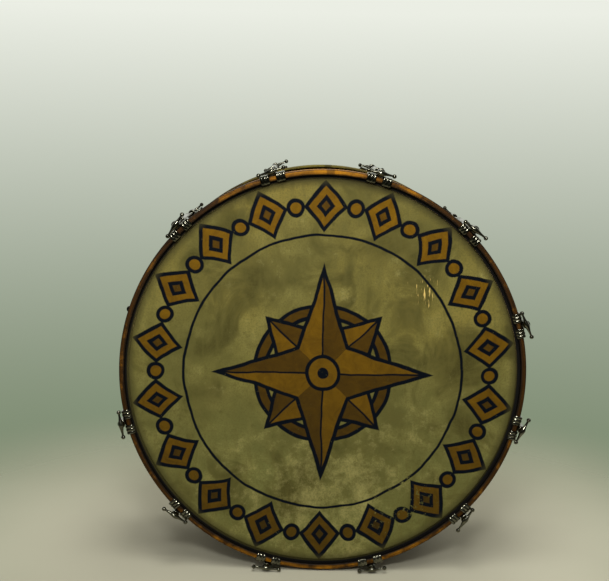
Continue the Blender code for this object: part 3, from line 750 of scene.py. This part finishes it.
collar_outline = rounded([
    (COLLAR_BORE, COLLAR_PROUD), (COLLAR_RADIUS - 0.6 * MM, COLLAR_PROUD),
    (COLLAR_RADIUS, COLLAR_PROUD - COLLAR_BEAD), (COLLAR_WAIST, COLLAR_PROUD - 3 * COLLAR_BEAD),
    (COLLAR_WAIST, 2 * COLLAR_FOOT - COLLAR_LENGTH), (COLLAR_RADIUS, COLLAR_FOOT - COLLAR_LENGTH),
    (COLLAR_RADIUS - MM, -COLLAR_LENGTH), (COLLAR_BORE, -COLLAR_LENGTH)], MM)
claw_grids = [prong(-PRONG_OFFSET), prong(PRONG_OFFSET), plate(), turned(collar_outline, 32)]


# Thumb rods: steel rods with a cast cross handle whose arms end in balls, nickel plated. Each runs
# through its claw's collar and screws into its tube lug, 20 threads to the inch.
ROD_RADIUS = 3.175 * MM
ROD_DEPTH = 125.3 * MM
THREAD_START = 82.0 * MM
THREAD_PITCH = 1.27 * MM
THREAD_DEPTH = 0.55 * MM
BOSS_LOW = 3.9 * MM
BOSS_HEIGHT = 10.4 * MM
BOSS_RADIUS = 5.2 * MM
BOSS_ROUNDING = 2.2 * MM
BOSS_SUNK = 2.6 * MM
BALL_REACH = 23.4 * MM
BALL_RADIUS = 4.0 * MM
NECK_RADIUS = 1.9 * MM
SPINDLE_RADIUS = 4.8 * MM
SPINDLE_LENGTH = 9.5 * MM
NECK_ANGLE = math.pi - math.asin(NECK_RADIUS / BALL_RADIUS)


def handle():
    """A cross handle along X. Each arm swells from its ball to the middle as a bell curve does."""
    turn = np.linspace(0.0, NECK_ANGLE, 12)
    ball = np.stack((BALL_RADIUS * np.sin(turn), BALL_REACH + BALL_RADIUS * np.cos(turn)), axis=-1)
    share = np.linspace(0.0, 1.0, 14)[1:]
    reach = ball[-1, 1] * (1 - share)
    bell = np.exp(-(reach / SPINDLE_LENGTH) ** 2)
    arm = np.stack((NECK_RADIUS + (SPINDLE_RADIUS - NECK_RADIUS) * bell, reach), axis=-1)
    half = np.vstack((ball, arm))
    profile = np.vstack((half, half[-2::-1] * (1, -1)))
    lying = Matrix.Translation((0, 0, BOSS_LOW + BOSS_HEIGHT / 2)) @ Matrix.Rotation(math.pi / 2, 4, "Y")
    return placed(turned(profile, 20), lying)


def shank():
    """A rod along Z whose far end is threaded: there the radius falls and rises once a pitch, in a
    wave that runs round the rod as it goes along."""
    plain = np.linspace(BOSS_LOW + BOSS_HEIGHT / 2, -THREAD_START, 4)
    turns = (ROD_DEPTH - THREAD_START) / THREAD_PITCH
    threaded = np.linspace(-THREAD_START, -ROD_DEPTH, int(turns * 4) + 1)[1:]
    height = np.concatenate((plain, threaded))
    angle = np.linspace(0.0, 2 * np.pi, 12, endpoint=False)[:, None]
    wave = 0.5 - 0.5 * np.cos(2 * np.pi * (height + THREAD_START) / THREAD_PITCH - angle)
    radius = ROD_RADIUS - THREAD_DEPTH * wave * (height < -THREAD_START)
    return capped(np.stack((radius * np.cos(angle), radius * np.sin(angle), height + 0 * angle), axis=-1))


boss_top = BOSS_LOW + BOSS_HEIGHT - BOSS_SUNK
boss_profile = rounded([(0.0, BOSS_LOW), (BOSS_RADIUS - 0.7 * MM, BOSS_LOW),
                        (BOSS_RADIUS, BOSS_LOW + BOSS_HEIGHT / 2),
                        (BOSS_RADIUS - MM, boss_top - 0.6 * MM), (0.0, boss_top)],
                       BOSS_ROUNDING, closed=False)
handle_grid, boss_grid, shank_grid = handle(), turned(boss_profile, 28), shank()


def handle_turn(node, spot):
    """How far a handle is turned from its place's own X, from the CAD point farthest from the rod."""
    mesh = frame["nodes"][node].data
    points = np.empty(3 * len(mesh.vertices))
    mesh.vertices.foreach_get("co", points)
    local = placed(points.reshape(-1, 3), spot.inverted())
    far = local[np.argmax(np.hypot(local[:, 0], local[:, 1]))]
    return math.atan2(far[1], far[0])


for side, end in (("front", FRONT_END), ("rear", REAR_END)):
    for number in range(1, ROD_COUNT + 1):
        claw_node, rod_node = f"{side}_claw_{number:02d}", f"{side}_thumb_rod_{number:02d}"
        if claw_node not in frame["nodes"]:
            continue
        spot = end @ rim_matrix(FIRST_ROD_ANGLE + ROD_STEP * (number - 1))
        claw = surface(f"{side}_double_claw_{number:02d}", *[placed(grid, spot) for grid in claw_grids])
        fix(claw, tarnished_nickel, "nickel_plate", claw_node, claw_node)
        turned_spot = spot @ Matrix.Rotation(handle_turn(rod_node, spot), 4, "Z")
        rod = surface(f"{side}_rod_and_handle_{number:02d}",
                      *[placed(grid, turned_spot) for grid in (handle_grid, boss_grid, shank_grid)])
        fix(rod, tarnished_nickel, "nickel_plate", rod_node, rod_node)


# Floor and light: a pale floor that fades into a pale wall, with soft lamps. The room is dimmer in
# front of the drum. The camera stands where the photograph's did, with the drum's slight roll.
WALL_LOW = "#7c8a70"
WALL_HIGH = "#ebeee4"
WALL_BAND = (-0.30, 0.10)
WALL_CURVE = 1.7
ROOM_TINT = "#f6f2e6"
ROOM_STRENGTH = 0.36
DIM_SIDE = 0.08
FLOOR_HALF = 2.2
FADE_START = 0.5
FADE_END = 1.3
IMAGE_WIDTH = 609
FOCAL_PX = 1150.0
SENSOR_MM = 36.0
DRUM_ROLL = math.radians(0.9)
CAMERA_PLACE = Vector((-0.0283, -2.2211, AXIS_HEIGHT + 0.4378))
CAMERA_YAW = math.radians(-0.13)
CAMERA_PITCH = math.radians(7.833)


def lamp(name, place, size, power, mirrored=True):
    """A soft lamp of that width and height, turned towards the drum's middle. One that isn't
    mirrored lights the drum but doesn't show in its metal."""
    data = bpy.data.lights.new(name, "AREA")
    data.shape = "RECTANGLE"
    data.size, data.size_y = size
    data.energy = power
    item = bpy.data.objects.new(name, data)
    bpy.context.scene.collection.objects.link(item)
    item.visible_glossy = mirrored
    item.location = place
    to_drum = Vector((0.0, 0.0, AXIS_HEIGHT)) - Vector(place)
    item.rotation_euler = to_drum.to_track_quat("-Z", "Y").to_euler()


def seen_directly(tree):
    """One for rays from the camera or by way of a mirror or glass, and zero for light on the object."""
    rays = add_node(tree, "LightPath").node.outputs
    seen = add_node(tree, "Math", rays["Is Camera Ray"], rays["Is Glossy Ray"], operation="ADD")
    return add_node(tree, "Math", seen, rays["Is Transmission Ray"], operation="ADD", use_clamp=True)


floor_mesh = bpy.data.meshes.new("floor")
floor_corners = [(-1, -1), (1, -1), (1, 1), (-1, 1)]
floor_mesh.from_pydata([(FLOOR_HALF * x, FLOOR_HALF * y, 0) for x, y in floor_corners], [], [(0, 1, 2, 3)])
floor = bpy.data.objects.new("floor", floor_mesh)
bpy.context.scene.collection.objects.link(floor)
pale_floor, tree, shader, centred = new_material("pale_painted_floor")
clouds = add_node(tree, "TexNoise", centred, scale=1.5, detail=3.0)
tree.links.new(blend(tree, "#a7a48f", "#b1ae99", clouds, 0.3, 0.7), shader.inputs["Base Color"])
shader.inputs["Roughness"].default_value = 0.9
far_away = add_node(tree, "VectorMath", centred, operation="LENGTH")
fade = add_node(tree, "MapRange", far_away, FADE_START, FADE_END, 0.0, 1.0, interpolation_type="SMOOTHSTEP")
faded = add_node(tree, "MixShader", fade, shader.outputs["BSDF"], add_node(tree, "BsdfTransparent"))
tree.links.new(faded, tree.nodes["Material Output"].inputs["Surface"])
floor.data.materials.append(pale_floor)

lamp("room_light", (-0.1, -2.2, 1.5), (0.4, 0.25), 25.0)
lamp("window_light", (0.0, -1.7, 2.1), (1.0, 0.1), 10.0)
lamp("ceiling_light", (0.0, -0.9, 2.1), (0.8, 0.8), 20.0, mirrored=False)
lamp("fill_light", (-1.4, -2.6, 1.3), (2.0, 2.0), 10.0, mirrored=False)
lamp("top_light", (0.3, 0.6, 2.6), (1.2, 1.2), 16.0, mirrored=False)
lamp("back_light", (1.2, 2.6, 1.8), (2.0, 2.0), 34.0, mirrored=False)
world = bpy.data.worlds.new("room")
bpy.context.scene.world = world
world.use_nodes = True
room = world.node_tree
ray = add_node(room, "TexCoord").node.outputs["Generated"]
ways = add_node(room, "SeparateXYZ", ray).node.outputs
climb = add_node(room, "MapRange", ways["Z"], *WALL_BAND, 0.0, 1.0)
climb = add_node(room, "Math", climb, WALL_CURVE, operation="POWER")
wall = blend(room, WALL_LOW, WALL_HIGH, climb)
behind = add_node(room, "MapRange", ways["Y"], -0.3, 0.7, DIM_SIDE, 1.0, interpolation_type="SMOOTHSTEP")
seen = seen_directly(room)
by_camera = add_node(room, "LightPath").node.outputs["Is Camera Ray"]
shown = add_node(room, "Mix", by_camera, behind, 1.0, data_type="FLOAT")
strength = add_node(room, "Mix", seen, ROOM_STRENGTH, shown, data_type="FLOAT")
room.links.new(strength, room.nodes["Background"].inputs["Strength"])
room.links.new(blend(room, ROOM_TINT, wall, seen), room.nodes["Background"].inputs["Color"])

forward = Vector((math.sin(CAMERA_YAW) * math.cos(CAMERA_PITCH),
                  math.cos(CAMERA_YAW) * math.cos(CAMERA_PITCH), -math.sin(CAMERA_PITCH)))
right = Vector((math.cos(CAMERA_YAW), -math.sin(CAMERA_YAW), 0.0))
axes = Matrix((right, right.cross(forward), -forward)).transposed().to_4x4()
roll = above_axis @ Matrix.Rotation(-DRUM_ROLL, 4, "Y") @ above_axis.inverted()
camera_data = bpy.data.cameras.new("camera")
camera_data.sensor_width = SENSOR_MM
camera_data.lens = FOCAL_PX / IMAGE_WIDTH * SENSOR_MM
camera = bpy.data.objects.new("camera", camera_data)
bpy.context.scene.collection.objects.link(camera)
camera.matrix_world = roll @ Matrix.Translation(CAMERA_PLACE) @ axes
bpy.context.scene.camera = camera
bpy.context.scene.view_settings.view_transform = "Standard"
